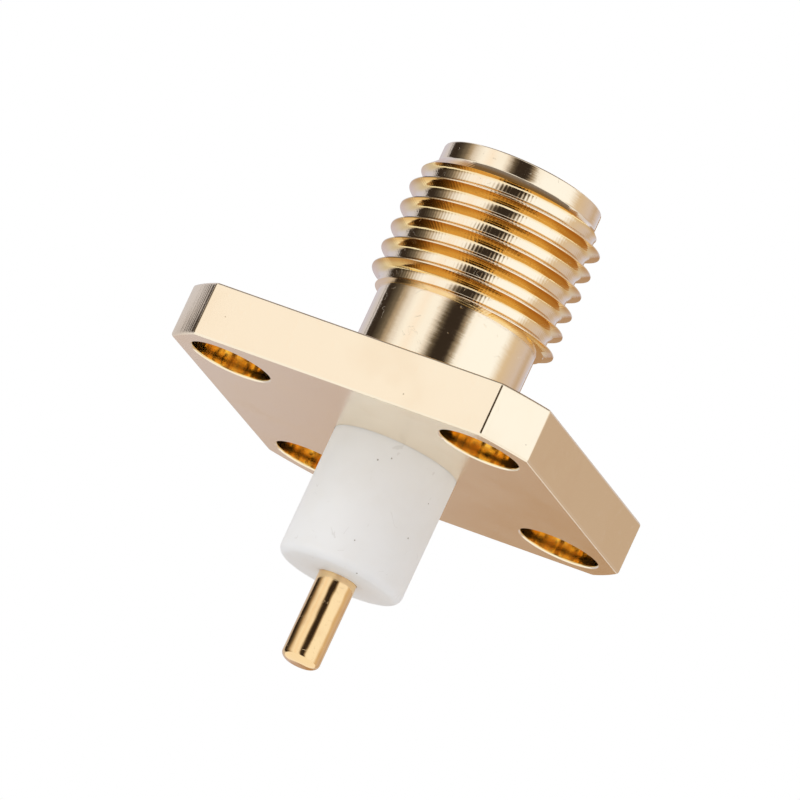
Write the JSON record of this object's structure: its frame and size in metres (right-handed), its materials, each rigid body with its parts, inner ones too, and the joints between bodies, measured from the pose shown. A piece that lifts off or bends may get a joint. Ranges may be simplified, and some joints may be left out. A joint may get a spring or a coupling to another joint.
{
  "type": "coaxial panel jack",
  "caption": "Threaded coaxial jack on a square four-hole flange, with a white dielectric stub and a round solder pin behind the flange.",
  "frame": {"origin": "centre of the flange's rear face, which seats on the panel", "axes": "+Z along the coaxial axis towards the mating end, +X and +Y along the sides of the flange"},
  "size_m": [0.0126, 0.0126, 0.017],
  "materials": {
    "gold_plated_body": "turned and gold plated, bright, with fine turning marks",
    "ptfe": "soft waxy white",
    "gold_plated_contact": "turned and gold plated, bright"
  },
  "bodies": {
    "root": {"body": "gold_plated_body", "insulator": "ptfe", "center_contact": "gold_plated_contact"}
  },
  "joints": []
}
